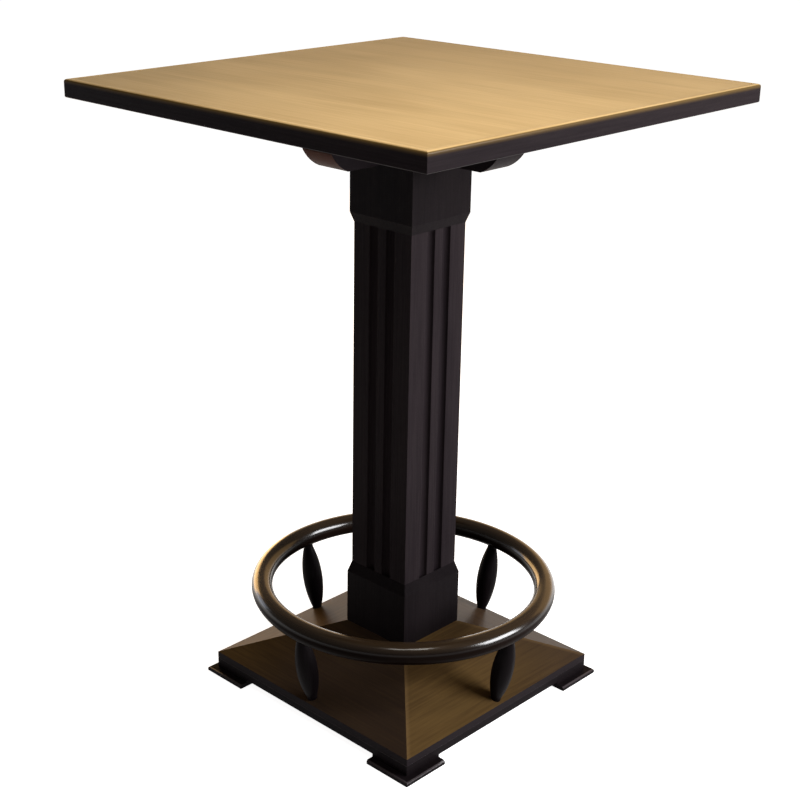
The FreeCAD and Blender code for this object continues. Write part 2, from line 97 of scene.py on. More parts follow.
# The arms of a cross recess, as shares of the radius of the screw's head.
RECESS_WIDTH = 0.24
RECESS_LENGTH = 1.1
RECESS_DEPTH = 0.25

# Brightness of the other dark woods against the shaft's stain: capital, plinth, rails and feet,
# where on the capital it is also painted shade under the top; the top's edge strips; and the
# spindles.
DARK_BOARD_AND_SHADE = 0.45
DARK_STRIP = 0.85
DARK_SPINDLE = 0.30
# How strongly a surface mirrors: stained boards and base panels, the ring, and the veneer.
BOARD_SHEEN = 0.02
RING_SHEEN = 0.01
VENEER_SHEEN = 0.15
# Depth of the relief that fibres and pores leave in a surface.
STAIN_RELIEF = 0.00008
VENEER_RELIEF = 0.00006
LACQUER_RELIEF = 0.00002
BARE_RELIEF = 0.0001
# How far below the top's face the edge strips' stain starts to thin, where it is thinnest, and how
# much the figure moves both.
THINNING_START = 0.0085
THINNING_END = 0.0010
THINNING_DRIFT = 0.001
# Distances from a hip up to which the base's lacquer carries its full painted highlight, and
# from which it has none.
HIP_HIGHLIGHT_FULL = 0.002
HIP_HIGHLIGHT_NONE = 0.012

# The floor, the wall round it, and the tints of the paints and lamps.
FLOOR_WIDTH = 300
WALL_RADIUS = 60
WALL_HEIGHT = 7
WALL_SIDES = 96
SENSOR_WIDTH = 36
WHITE = (1.0, 1.0, 1.0, 1.0)
ROOM_TINT = (1.0, 0.86, 0.72, 1.0)
FLOOR_DIM = (0.30, 0.29, 0.28, 1.0)
FLOOR_LIT = (0.80, 0.80, 0.80, 1.0)
FLOOR_GLOW = 0.93
KEY_TINT = (0.97, 0.98, 1.0)
OVERHEAD_TINT = (1.0, 0.96, 0.90)
WARM_TINT = (1.0, 0.60, 0.24)
COOL_TINT = (0.80, 0.86, 1.0)


# ---------------------------------------------------------------- settings

def colour(name, description, value):
    """A colour that the panel shows."""
    return bpy.props.FloatVectorProperty(
        name=name, description=description, default=value, min=0, max=1, size=3, subtype="COLOR")


def length(name, description, value):
    """A length in metres that the panel shows."""
    return bpy.props.FloatProperty(
        name=name, description=description, default=value, min=0, precision=4, unit="LENGTH")


def angle(name, description, degrees):
    """An angle that the panel shows."""
    return bpy.props.FloatProperty(
        name=name, description=description, default=math.radians(degrees), subtype="ANGLE")


def power(name, description, value):
    """A lamp's power in watts."""
    return bpy.props.FloatProperty(
        name=name, description=description, default=value, min=0, unit="POWER")


class PubTableFinishes(bpy.types.PropertyGroup):
    """Colours of the woods and the steel."""

    veneer_light: colour(
        "Veneer, light", "Pale growth in the face veneer", (0.60, 0.415, 0.192))
    veneer_dark: colour(
        "Veneer, dark", "Dark growth in the face veneer", (0.43, 0.286, 0.120))
    stain_light: colour(
        "Stain, light", "Dark stain where the grain is pale", (0.021, 0.0156, 0.0178))
    stain_dark: colour(
        "Stain, dark", "Dark stain where the grain is dense", (0.013, 0.0094, 0.0113))
    # Lighter brown for rounded arrises that face upward: wear and a painted highlight.
    worn_edge_highlight: colour(
        "Worn edge", "Rounded edges where the stain has thinned", (0.12, 0.100, 0.108))
    sprayed_edge: colour(
        "Sprayed edge", "Golden brown where the edge strips' stain thins out",
        (0.105, 0.064, 0.021))
    end_grain: colour(
        "End grain", "Reddish ends of the bearers", (0.085, 0.031, 0.021))
    lacquer_light: colour(
        "Lacquered brown, light", "Base panels where the grain is pale", (0.095, 0.0560, 0.0200))
    lacquer_dark: colour(
        "Lacquered brown, dark", "Base panels where the grain is dense", (0.058, 0.0330, 0.0130))
    ring_light: colour(
        "Ring, light", "Foot ring where the grain is pale", (0.010, 0.0058, 0.0042))
    ring_dark: colour(
        "Ring, dark", "Foot ring where the grain is dense", (0.005, 0.0028, 0.0024))
    # Golden brown of wear and painted highlight on the ring's upper side, and of painted highlight
    # along the base's hips.
    rubbed_and_highlighted: colour(
        "Rubbed brown", "Wood showing through where the ring and the hips are rubbed",
        (0.17, 0.105, 0.048))
    raw_light: colour(
        "Bare wood, light", "Unfinished wood inside and underneath", (0.46, 0.31, 0.17))
    raw_dark: colour(
        "Bare wood, dark", "Unfinished wood where the grain is dense", (0.30, 0.18, 0.09))
    steel: colour(
        "Steel", "Zinc-plated fasteners", (0.55, 0.55, 0.54))


class PubTableSizes(bpy.types.PropertyGroup):
    """Small sizes that the dressing adds to the frame."""

    board_edge: length(
        "Board edge", "Rounding of the boards' free edges", 0.0008)
    strip_edge: length(
        "Strip edge", "Rounding at both sides of the edge strips' flattened arris", 0.0017)
    nut_flats: length(
        "Nut", "Width of the nuts across their flats", 0.017)
    rod_pitch: length(
        "Rod pitch", "Pitch of the tie rod's thread", 0.0015)
    rod_thread: length(
        "Rod thread", "Threaded length at each end of the tie rod", 0.036)
    bearer_screw_head: length(
        "Bearer screw head", "Diameter of the bearer screws' heads", 0.010)
    foot_screw_head: length(
        "Foot screw head", "Diameter of the foot screws' heads", 0.008)
    screw_pitch: length(
        "Screw pitch", "Pitch of the wood screws' thread", 0.0020)


class PubTableStudio(bpy.types.PropertyGroup):
    """Lamps, surroundings and camera."""

    camera_place: bpy.props.FloatVectorProperty(
        name="Camera place", description="Where the camera stands",
        default=(1.65017, -1.77498, 1.47714), size=3, subtype="TRANSLATION", unit="LENGTH")
    camera_turn: angle("Camera turn", "How far the camera stands round from the front", 44.87)
    camera_dip: angle("Camera dip", "How far the camera looks down", 20.40)
    camera_roll: angle("Camera roll", "How far the camera leans", 0.43)
    camera_lens: bpy.props.FloatProperty(
        name="Lens", description="Focal length on a 36 mm sensor", default=66.65, min=1,
        unit="CAMERA")
    camera_shift: bpy.props.FloatVectorProperty(
        name="Shift", description="Sideways and upward shift of the frame",
        default=(0.0509, -0.0206), size=2)
    key_power: power("Key", "Large lamp on the right, behind", 175)
    overhead_power: power("Overhead", "Lamp above the top", 9.8)
    wall_power: power("Warm wall", "Wide warm lamp behind", 28)
    side_power: power("Warm side", "Low warm lamp on the left, behind", 34)
    left_power: power("Cool left", "Cool lamp low on the left", 5.6)
    surroundings: bpy.props.FloatProperty(
        name="Surroundings", description="Level of the light from all round",
        default=0.13, min=0, max=1, subtype="FACTOR")


# ---------------------------------------------------------------- shader writing

class Value:
    """One output of a shader node. Ordinary arithmetic on it adds Math nodes."""

    def __init__(self, finish, socket):
        self.finish = finish
        self.socket = socket

    def __add__(self, other):
        return self.finish.maths("ADD", self, other)

    __radd__ = __add__

    def __sub__(self, other):
        return self.finish.maths("SUBTRACT", self, other)

    def __rsub__(self, other):
        return self.finish.maths("SUBTRACT", other, self)

    def __mul__(self, other):
        return self.finish.maths("MULTIPLY", self, other)

    __rmul__ = __mul__

    def __abs__(self):
        return self.finish.maths("ABSOLUTE", self)


class Finish:
    """The node tree of a material, or of the surroundings, under construction."""

    def __init__(self, owner):
        self.owner = owner
        owner.use_nodes = True
        self.tree = owner.node_tree
        self.tree.nodes.clear()

    def node(self, kind, settings=None, inputs=None, output=0):
        """Add a node of a kind, with its settings made first, and return one of its outputs."""
        made = self.tree.nodes.new(f"ShaderNode{kind}")
        for name, setting in (settings or {}).items():
            setattr(made, name, setting)
        for name, given in (inputs or {}).items():
            if isinstance(name, int):
                socket = made.inputs[name]
            else:
                socket = next(item for item in made.inputs if item.name == name and item.enabled)
            if isinstance(given, Value):
                self.tree.links.new(given.socket, socket)
            else:
                socket.default_value = given
        if isinstance(output, int):
            enabled = [item for item in made.outputs if item.enabled]
            return Value(self, enabled[output]) if enabled else None
        return Value(self, made.outputs[output])

    def maths(self, operation, *values):
        """A Math node."""
        return self.node("Math", {"operation": operation}, dict(enumerate(values)))

    def blend(self, factor, first, second):
        """The first colour where the factor is 0, the second where it is 1."""
        return self.node("Mix", {"data_type": "RGBA"},
                         {"Factor": factor, "A": as_colour(first), "B": as_colour(second)})

    def step(self, value, start, end):
        """Nothing before start, all after end, and a soft climb between them."""
        return self.node("MapRange", {"interpolation_type": "SMOOTHSTEP"},
                         {"Value": value, "From Min": start, "From Max": end})

    def parts(self, vector):
        """The x, y and z of a vector."""
        return tuple(self.node("SeparateXYZ", inputs={0: vector}, output=axis)
                     for axis in range(3))

    def place(self):
        """Where a point of the surface is, in metres: x, y and z."""
        return self.parts(self.node("TexCoord", output="Object"))

    def facing(self):
        """Which way the surface faces: x, y and z."""
        return self.parts(self.node("NewGeometry", output="Normal"))

    def grain(self, way):
        """A point's place along the grain, across it and into it, for a grain along x, y or z
        or round the foot ring."""
        x, y, z = self.place()
        if way == "x":
            return x, y, z
        if way == "y":
            return y, x, z
        if way == "z":
            return z, x, y
        radius = self.maths("SQRT", x * x + y * y)
        return self.maths("ARCTAN2", y, x) * RING_RADIUS, radius, z

    def noise(self, grain, stretch, fineness, detail=2.0, roughness=0.55, distortion=0.0):
        """Noise drawn out along the grain: stretch and fineness are features per metre."""
        along, across, deep = grain
        point = self.node("CombineXYZ", inputs={0: along * stretch, 1: across * fineness,
                                                2: deep * fineness})
        return self.node("TexNoise", inputs={"Vector": point, "Scale": 1.0, "Detail": detail,
                                             "Roughness": roughness, "Distortion": distortion})

    def surface(self, height, relief, **sockets):
        """Close the material with a Principled shader whose surface rises with height."""
        inputs = {name.replace("_", " "): given for name, given in sockets.items()}
        inputs["Normal"] = self.node(
            "Bump", inputs={"Strength": 1.0, "Distance": relief, "Height": height})
        shader = self.node("BsdfPrincipled", inputs=inputs)
        return self.close(shader)

    def close(self, shader):
        """End the material with a shader and return it."""
        self.node("OutputMaterial", inputs={"Surface": shader})
        return self.owner


def new_finish(name):
    """An empty material to build on."""
    return Finish(bpy.data.materials.new(name))


def as_colour(given):
    """Three numbers as the four that a colour socket holds."""
    return given if isinstance(given, Value) else (*given, 1.0)


def dimmed(brightness, *colours):
    """Colours at a share of their brightness."""
    return [tuple(part * brightness for part in one) for one in colours]


# ---------------------------------------------------------------- finishes

class Wood(Finish):
    """A finish on wood whose patterns run from 0 to 1: broad figure, fibres and fine pores."""

    def __init__(self, name, way):
        super().__init__(bpy.data.materials.new(name))
        grain = self.grain(way)
        self.figure = self.noise(grain, stretch=1.6, fineness=14.0, distortion=0.6)
        self.fibres = self.noise(grain, stretch=9.0, fineness=260.0, detail=4.0, roughness=0.62)
        self.pores = self.noise(grain, stretch=60.0, fineness=1700.0)

    def growth(self, start=0.36, end=0.66):
        """How far the growth is dark, from 0 to 1."""
        return self.step(self.figure * 0.5 + self.fibres * 0.5, start, end)

    def stained(self, base, roughness=0.40, coat=0.0, coat_roughness=0.14):
        """Close the material as stained wood: dull, with open pores, perhaps under a coat."""
        return self.surface(
            self.fibres * 0.6 - self.step(self.pores, 0.58, 0.70) * 0.6, STAIN_RELIEF,
            Base_Color=base, Roughness=roughness + self.fibres * 0.16,
            Coat_Weight=coat, Coat_Roughness=coat_roughness, Specular_IOR_Level=BOARD_SHEEN)

    def lacquered(self, base, roughness, coat, coat_roughness, sheen):
        """Close the material as lacquered wood, whose pores are filled."""
        return self.surface(
            self.fibres * 0.5, LACQUER_RELIEF,
            Base_Color=base, Roughness=roughness,
            Coat_Weight=coat, Coat_Roughness=coat_roughness, Specular_IOR_Level=sheen)


def make_veneer(finishes):
    """Satin face veneer with a fine straight grain."""
    finish = new_finish("face veneer")
    grain = finish.grain("x")
    figure = finish.noise(grain, stretch=1.1, fineness=7.0, distortion=0.9)
    fibres = finish.noise(grain, stretch=5.0, fineness=190.0, detail=4.0, roughness=0.6)
    pores = finish.step(finish.noise(grain, stretch=45.0, fineness=1500.0), 0.60, 0.74)
    clouds = finish.noise(grain, stretch=3.0, fineness=4.5)
    growth = finish.step(figure * 0.45 + fibres * 0.35 + clouds * 0.35, 0.38, 0.78)
    base = finish.blend(growth, finishes.veneer_light, finishes.veneer_dark)
    base = finish.blend(pores * 0.35, base, finishes.veneer_dark)
    return finish.surface(
        fibres * 0.5 - pores * 0.5, VENEER_RELIEF,
        Base_Color=base, Roughness=0.36 + fibres * 0.12,
        Coat_Weight=0.12, Coat_Roughness=0.28, Specular_IOR_Level=VENEER_SHEEN)


def make_stain(finishes, name, way, gloss=0.0, brightness=1.0):
    """Near-black brown stain under a satin finish."""
    wood = Wood(name, way)
    light, dark = dimmed(brightness, finishes.stain_light, finishes.stain_dark)
    base = wood.blend(wood.growth(), light, dark)
    return wood.stained(base, roughness=0.40 - gloss * 0.15, coat=gloss)


def make_edge_stain(finishes, name, way):
    """The stain of rails and feet, thinned and lighter on their upward-facing rounded arrises:
    wear and a painted highlight.
    """
    wood = Wood(name, way)
    light, dark, worn_and_highlight = dimmed(
        DARK_BOARD_AND_SHADE, finishes.stain_light, finishes.stain_dark, finishes.worn_edge_highlight)
    base = wood.blend(wood.growth(), light, dark)
    # Wear and painted highlight: rounded arrises that face partly upward turn lighter and glossier.
    upward = wood.facing()[2]
    arris = wood.step(upward, 0.02, 0.50) * (1 - wood.step(upward, 0.93, 0.99))
    base = wood.blend(arris * (0.55 + wood.figure * 0.45), base, worn_and_highlight)
    return wood.stained(base, coat=arris * (0.4 * DARK_BOARD_AND_SHADE))


def edge_stain(finishes, way):
    """The stain of rails and feet for one way of the grain, made once."""
    name = f"edge stain {way}"
    return bpy.data.materials.get(name) or make_edge_stain(finishes, name, way)


def make_strip_stain(finishes, name, way):
    """The stain of the top's edge strips, sprayed thin over the rounding and off the upper face."""
    wood = Wood(name, way)
    light, dark = dimmed(DARK_STRIP, finishes.stain_light, finishes.stain_dark)
    growth = wood.growth()
    height = wood.place()[2] + wood.figure * THINNING_DRIFT
    thin = wood.step(height, TABLE_HEIGHT - THINNING_START, TABLE_HEIGHT - THINNING_END)
    bare = wood.step(wood.facing()[2], 0.55, 1.0)
    veneer = wood.blend(growth, finishes.veneer_light, finishes.veneer_dark)
    base = wood.blend(thin, wood.blend(growth, light, dark), finishes.sprayed_edge)
    base = wood.blend(bare, base, veneer)
    return wood.stained(base, coat=thin * 0.12, coat_roughness=0.20)


def make_bearer_stain(finishes, name, way, reddish_and_lit):
    """The stain of a bearer, with red-brown end grain on its ends by the share given,
    partly as painted light.
    """
    wood = Wood(name, way)
    base = wood.blend(wood.growth(0.1, 0.5), finishes.stain_light, finishes.stain_dark)
    ends = wood.step(abs(wood.facing()["xy".index(way)]), 0.35, 0.75)
    base = wood.blend(ends * reddish_and_lit, base, finishes.end_grain)
    return wood.stained(base, roughness=0.42)


def make_panel_lacquer(finishes, name, way, hip_highlight, painted_shade_span):
    """Brown lacquer of the base panels, stained on their upright edges. It darkens along the
    grain between the two places given, as painted shade, and carries a painted highlight of the
    strength given along the mitres."""
    wood = Wood(name, way)
    base = wood.blend(wood.growth(), finishes.lacquer_light, finishes.lacquer_dark)
    x, y, _ = wood.place()
    # Painted shade: the lacquer darkens towards one end of each panel.
    painted_shade = wood.step(x if way == "x" else y, *painted_shade_span)
    base = wood.blend(painted_shade * 0.58, base, finishes.stain_light)
    # Painted highlight: a lighter golden brown band along the hips.
    from_hip = abs(abs(x) - abs(y))
    worn_and_highlight = (1 - wood.step(from_hip, HIP_HIGHLIGHT_FULL, HIP_HIGHLIGHT_NONE)) * hip_highlight
    base = wood.blend(worn_and_highlight, base, finishes.rubbed_and_highlighted)
    sloping = wood.step(wood.facing()[2], 0.35, 0.75)
    base = wood.blend(sloping, finishes.stain_dark, base)
    return wood.lacquered(base, roughness=0.34 + wood.fibres * 0.12, coat=sloping * 0.02,
                          coat_roughness=0.16, sheen=BOARD_SHEEN)


def make_ring_lacquer(finishes):
    """Lacquer of the foot ring, polished on its upper side, where a golden brown shows as wear
    and as a painted highlight.
    """
    wood = Wood("foot ring lacquer", "round")
    base = wood.blend(wood.growth(), finishes.ring_light, finishes.ring_dark)
    upward = wood.facing()[2]
    # Wear and painted highlight: the ring's upper side turns golden brown.
    rubbed_and_highlighted = wood.step(upward + (wood.figure - 0.5) * 0.4, 0.35, 1.0) * (wood.fibres * 0.30)
    base = wood.blend(rubbed_and_highlighted, base, finishes.rubbed_and_highlighted)
    polish = wood.step(upward, 0.1, 0.6)
    return wood.lacquered(base, roughness=0.30 + rubbed_and_highlighted * 0.12, coat=polish,
                          coat_roughness=0.17, sheen=RING_SHEEN)


def make_raw_wood(finishes, name, way):
    """Bare wood of what is hidden."""
    wood = Wood(name, way)
    base = wood.blend(wood.growth(), finishes.raw_light, finishes.raw_dark)
    return wood.surface(wood.fibres - wood.pores * 0.5, BARE_RELIEF,
                        Base_Color=base, Roughness=0.62 + wood.fibres * 0.2)


def make_steel(finishes):
    """Zinc-plated steel with faint turning marks."""
    finish = new_finish("zinc-plated steel")
    marks = finish.noise(finish.place(), stretch=900.0, fineness=900.0)
    base = finish.blend(marks, finishes.steel, *dimmed(0.8, finishes.steel))
    return finish.close(finish.node("BsdfPrincipled", inputs={
        "Base Color": base, "Metallic": 1.0, "Roughness": 0.28 + marks * 0.15}))


def wear(piece, material):
    """Give an object one finish in place of its own."""
    piece.data.materials.clear()
    piece.data.materials.append(material)


def wear_nodes(material, *names):
    """Give nodes of the frame a finish in every one of their slots."""
    for name in names:
        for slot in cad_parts[name].material_slots:
            slot.material = material


# ---------------------------------------------------------------- modelling by hand

def pick(piece):
    """Select one object alone and make it active."""
    bpy.ops.object.select_all(action="DESELECT")
    piece.select_set(True)
    bpy.context.view_layer.objects.active = piece


def settle(piece, node, material):
    """Let a finished piece stand for its node, ride with the table and wear its finish."""
    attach(piece, BODY)
    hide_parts(node)
    wear(piece, material)


def copied(node, name):
    """A copy of a node's shape, open in edit mode with every flat face whole."""
    piece = bpy.data.objects.new(name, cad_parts[node].data.copy())
    bpy.context.scene.collection.objects.link(piece)
    pick(piece)
    bpy.ops.object.mode_set(mode="EDIT")
    bpy.ops.mesh.select_mode(type="EDGE")
    bpy.ops.mesh.select_all(action="SELECT")
    bpy.ops.mesh.remove_doubles(threshold=SAME_PLACE)
    bpy.ops.mesh.dissolve_limited(angle_limit=FLAT_TURN)
    bpy.ops.mesh.normals_make_consistent(inside=False)
    return piece


def choose_edges(piece, wanted):
    """In edit mode, select the wanted edges alone, never those that lie in a mitre joint."""
    def mitred(point):
        return abs(abs(point.x) - abs(point.y)) < MITRE_REACH

    bpy.ops.mesh.select_mode(type="EDGE")
    bpy.ops.mesh.select_all(action="DESELECT")
    shape = bmesh.from_edit_mesh(piece.data)
    for edge in shape.edges:
        start, end = (vertex.co for vertex in edge.verts)
        joined = all(map(mitred, (start, end, (start + end) / 2)))
        edge.select_set(not joined and wanted(edge))
    bmesh.update_edit_mesh(piece.data)


def round_edges(piece, width, segments=2, near=lambda vertex: True):
    """Round a board's free sharp edges and close edit mode."""
    choose_edges(piece, lambda edge: edge.calc_face_angle_signed(0) > SHARP_TURN
                 and all(map(near, edge.verts)))
    bpy.ops.mesh.bevel(offset=width, segments=segments, affect="EDGES", clamp_overlap=True)
    bpy.ops.object.mode_set(mode="OBJECT")
    bpy.ops.object.shade_smooth_by_angle(angle=SMOOTH_TURN)
    even = piece.modifiers.new("flat faces stay flat", "WEIGHTED_NORMAL")
    even.keep_sharp = True
    bpy.ops.object.modifier_apply(modifier=even.name)
    return piece


def soften(node, name, width, material):
    """Replace a node by a board of its own shape whose free edges are rounded."""
    settle(round_edges(copied(node, name), width), node, material)


def edge_strip(node, name, width):
    """An edge strip of the top: the hollow along its upper outer edge is made flat, then
    rounded off."""
    piece = copied(node, name)

    def from_edges(vertex):
        return TOP_REACH - max(abs(vertex.co.x), abs(vertex.co.y)), TABLE_HEIGHT - vertex.co.z

    def on_arris(vertex):
        return max(from_edges(vertex)) < TOP_ARRIS + SAME_PLACE

    def in_hollow(vertex):
        return on_arris(vertex) and min(from_edges(vertex)) > SAME_PLACE / 10

    choose_edges(piece, lambda edge: all(map(in_hollow, edge.verts)))
    bpy.ops.mesh.dissolve_edges(use_verts=True)
    return round_edges(piece, width, segments=5, near=on_arris)


def lathe(name, outline, steps):
    """A piece turned round the upright axis from an outline of radius and height points, which
    starts as one point and is drawn out."""
    bpy.ops.object.select_all(action="DESELECT")
    bpy.ops.mesh.primitive_plane_add(size=0.001, location=(0, 0, 0))
    piece = bpy.context.active_object
    piece.name = name
    bpy.ops.object.mode_set(mode="EDIT")
    bpy.ops.mesh.select_mode(type="VERT")
    bpy.ops.mesh.select_all(action="SELECT")
    bpy.ops.mesh.merge(type="CENTER")
    bpy.ops.transform.translate(value=(outline[0][0], 0, outline[0][1]))
    for (radius, height), (next_radius, next_height) in zip(outline, outline[1:]):
        bpy.ops.mesh.extrude_region_move(
            TRANSFORM_OT_translate={"value": (next_radius - radius, 0, next_height - height)})
    bpy.ops.mesh.select_all(action="SELECT")
    bpy.ops.mesh.spin(steps=steps, angle=math.tau, center=(0, 0, 0), axis=(0, 0, 1))
    bpy.ops.mesh.select_all(action="SELECT")
    bpy.ops.mesh.remove_doubles(threshold=SAME_TURNED_PLACE)
    bpy.ops.mesh.normals_make_consistent(inside=False)
    bpy.ops.object.mode_set(mode="OBJECT")
    bpy.ops.object.shade_smooth_by_angle(angle=SMOOTH_TURN)
    return piece


def threads(start, end, crest, pitch):
    """The outline of a screw thread between two heights, in radius and height points."""
    turns = int((end - start) / pitch)
    points = []
    for turn in range(turns):
        points += [(crest, start + turn * pitch),
                   (crest - pitch * THREAD_DEPTH, start + (turn + 0.5) * pitch)]
    return points + [(crest, start + turns * pitch)]


def carve(piece, tool, operation):
    """Cut a tool's shape out of a piece, or keep only what both share, and take the tool away."""
    pick(piece)
    cutter = piece.modifiers.new("carve", "BOOLEAN")
    cutter.operation = operation
    cutter.solver = "EXACT"
    cutter.object = tool
    bpy.ops.object.modifier_apply(modifier=cutter.name)
    pick(tool)
    bpy.ops.object.delete()
    pick(piece)


def repeat_in_mesh(piece, copies, turn=0.0, lift=0.0):
    """Copy a piece's mesh again and again, each copy turned about the table's axis or lifted."""
    pick(piece)
    bpy.ops.object.mode_set(mode="EDIT")
    bpy.ops.mesh.select_all(action="SELECT")
    for _ in range(copies):
        bpy.ops.mesh.duplicate()
        if turn:
            bpy.ops.transform.rotate(value=turn, orient_axis="Z", center_override=(0, 0, 0))
        if lift:
            bpy.ops.transform.translate(value=(0, 0, lift))
    bpy.ops.mesh.select_all(action="SELECT")
    bpy.ops.mesh.normals_make_consistent(inside=False)
    bpy.ops.object.mode_set(mode="OBJECT")


def cross_head_screws(node, name, head, pitch, place):
    """Four countersunk wood screws, heads down, with a cross recess: one is made at its place and
    copied round the table. head is the radius of its head."""
    low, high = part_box(node)
    shank = head / 2
    rim = 0.0002
    neck = low.z + head - shank + rim / 2
    thread_start = neck + (high.z - low.z) * NECK_LENGTH
    tip = high.z - shank * POINT_LENGTH
    outline = [(0, low.z), (head - rim, low.z), (head, low.z + rim), (shank, neck)]
    outline += threads(thread_start, tip, shank, pitch) + [(0, high.z)]
    screw = lathe(name, outline, steps=20)
    # Half of each bar that cuts an arm of the recess stands out of the head.
    long, short = head * RECESS_LENGTH, head * RECESS_WIDTH
    for along_x, along_y in ((long, short), (short, long)):
        bpy.ops.mesh.primitive_cube_add(
            size=1, location=(0, 0, low.z), scale=(along_x, along_y, head * RECESS_DEPTH * 2))
        carve(screw, bpy.context.active_object, "DIFFERENCE")
    screw.location = (*place, 0)
    bpy.ops.object.transform_apply(location=True, rotation=True, scale=True)
    repeat_in_mesh(screw, 3, turn=math.pi / 2)
    return screw


def rod_nuts(name, flats):
    """Two hexagon nuts with chamfered corners on the tie rod."""
    low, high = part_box("tie_nuts")
    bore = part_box("tie_rod")[1].x
    corner = flats / math.sqrt(3)
    thick = flats * 8 / 17
    top = low.z + thick
    bpy.ops.object.select_all(action="DESELECT")
    bpy.ops.mesh.primitive_cylinder_add(
        vertices=6, radius=corner, depth=thick, location=(0, 0, low.z + thick / 2),
        rotation=(0, 0, math.pi / 6))
    nut = bpy.context.active_object
    nut.name = name
    bpy.ops.object.transform_apply(location=True, rotation=True, scale=True)
    # The chamfering shape reaches past the nut's faces and corners and narrows towards both ends.
    past, chamfer = 0.0005, 0.0014
    narrow, wide = flats * 0.46, corner + 0.0003
    outline = [(bore, low.z - past), (narrow, low.z - past), (wide, low.z + chamfer),
               (wide, top - chamfer), (narrow, top + past), (bore, top + past),
               (bore, low.z - past)]
    carve(nut, lathe("nut chamfer", outline, steps=48), "INTERSECT")
    bpy.ops.object.shade_smooth_by_angle(angle=SMOOTH_TURN)
    repeat_in_mesh(nut, 1, lift=high.z - top)
    return nut


def rod_washers(name):
    """Two plain washers with rounded rims under the nuts."""
    low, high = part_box("tie_washers")
    play, nut_and_washer, rounding = 0.0002, 0.0105, 0.0005
    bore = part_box("tie_rod")[1].x + play
    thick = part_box("tie_nuts")[0].z + nut_and_washer - low.z
    rim, top = high.x, low.z + thick
    outline = [(bore, low.z), (rim - rounding, low.z), (rim, low.z + rounding),
               (rim, top - rounding), (rim - rounding, top), (bore, top), (bore, low.z)]
    washer = lathe(name, outline, steps=40)
    repeat_in_mesh(washer, 1, lift=high.z - top)
    return washer


def threaded_rod(name, pitch, threaded):
    """The tie rod, chamfered and threaded at both ends and a little thinner between them."""
    low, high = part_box("tie_rod")
    crest, chamfer, runout = high.x, 0.0008, 0.001
    middle = crest - 0.0004
    outline = [(0, low.z), (crest - chamfer, low.z)]
    outline += threads(low.z + chamfer, low.z + threaded, crest, pitch)
    outline += [(middle, low.z + threaded + runout), (middle, high.z - threaded - runout)]
    outline += threads(high.z - threaded, high.z - chamfer, crest, pitch)
    outline += [(crest - chamfer, high.z), (0, high.z)]
    return lathe(name, outline, steps=20)


# ---------------------------------------------------------------- operators

class PUBTABLE_OT_top(bpy.types.Operator):
    """Finish the top: face veneer, softened edge strips, core and balancing sheet"""

    bl_idname = "pub_table.top"
    bl_label = "Top"

    def execute(self, context):
        finishes = context.scene.pub_table_finishes
        sizes = context.scene.pub_table_sizes
        wear_nodes(make_veneer(finishes), "top_veneer")
        wear_nodes(make_raw_wood(finishes, "core wood", "x"), "top_core")
        wear_nodes(make_stain(finishes, "balancing sheet stain", "x"), "top_backing_sheet")
        stains = {way: make_strip_stain(finishes, f"edge strip stain {way}", way) for way in "xy"}
        for side, way in SIDE_WAYS.items():
            node = f"lipping_{side}"
            strip = edge_strip(node, f"edge_strip_{side}", sizes.strip_edge)
            settle(strip, node, stains[way])
        return {"FINISHED"}


class PUBTABLE_OT_bearers(bpy.types.Operator):
    """Finish the two crossing bearers with softened edges, the upper one with red-brown ends that
    are partly painted light
    """

    bl_idname = "pub_table.bearers"
    bl_label = "Bearers"

    def execute(self, context):
        finishes = context.scene.pub_table_finishes
        sizes = context.scene.pub_table_sizes
        # The upper bearer's ends show red-brown end grain, partly as painted light; the lower
        # bearer's ends show none.
        for level, way, reddish_and_lit in (("lower", "x", 0.0), ("upper", "y", 0.9)):
            stain = make_bearer_stain(finishes, f"bearer {level} stain", way, reddish_and_lit)
            soften(f"bearer_{level}", f"cross_bearer_{level}", sizes.board_edge,
                   stain)
        return {"FINISHED"}


class PUBTABLE_OT_column(bpy.types.Operator):
    """Finish the fluted column, its capital, its plinth and the blocks inside it"""

    bl_idname = "pub_table.column"
    bl_label = "Column"

    def execute(self, context):
        finishes = context.scene.pub_table_finishes
        sizes = context.scene.pub_table_sizes
        shaft = make_stain(finishes, "column stain", "z")
        # Capital and plinth are darker than the shaft; on the capital this is painted shade under
        # the top.
        darker = make_stain(finishes, "capital and plinth stain", "z", brightness=DARK_BOARD_AND_SHADE)
        for part, stain in (("column", shaft), ("capital", darker), ("plinth", darker)):
            for side in SIDE_WAYS:
                soften(f"{part}_board_{side}", f"{part}_face_{side}", sizes.board_edge,
                       stain)
        wear_nodes(make_raw_wood(finishes, "block wood", "z"),
                   "column_head_block", "column_foot_block")
        return {"FINISHED"}


class PUBTABLE_OT_base(bpy.types.Operator):
    """Finish the hipped base: panels, rails, ribs and bottom board"""

    bl_idname = "pub_table.base"
    bl_label = "Base"

    def execute(self, context):
        finishes = context.scene.pub_table_finishes
        sizes = context.scene.pub_table_sizes
        # Each way of panel has its own span of painted shade; the left and right panels also carry
        # a painted highlight along their hips.
        lacquers = {
            "x": make_panel_lacquer(finishes, "base lacquer x", "x", hip_highlight=0.0,
                                    painted_shade_span=(-0.22, -0.02)),
            "y": make_panel_lacquer(finishes, "base lacquer y", "y", hip_highlight=0.3,
                                    painted_shade_span=(-0.04, 0.26)),
        }
        for side, way in SIDE_WAYS.items():
            soften(f"base_panel_{side}", f"sloping_panel_{side}", sizes.board_edge,
                   lacquers[way])
            soften(f"base_rail_{side}", f"edge_rail_{side}", sizes.board_edge,
                   edge_stain(finishes, way))
        wear_nodes(make_raw_wood(finishes, "base inner wood", "x"),
                   "base_board", *(f"hip_rib_{corner}" for corner in CORNERS))
        return {"FINISHED"}


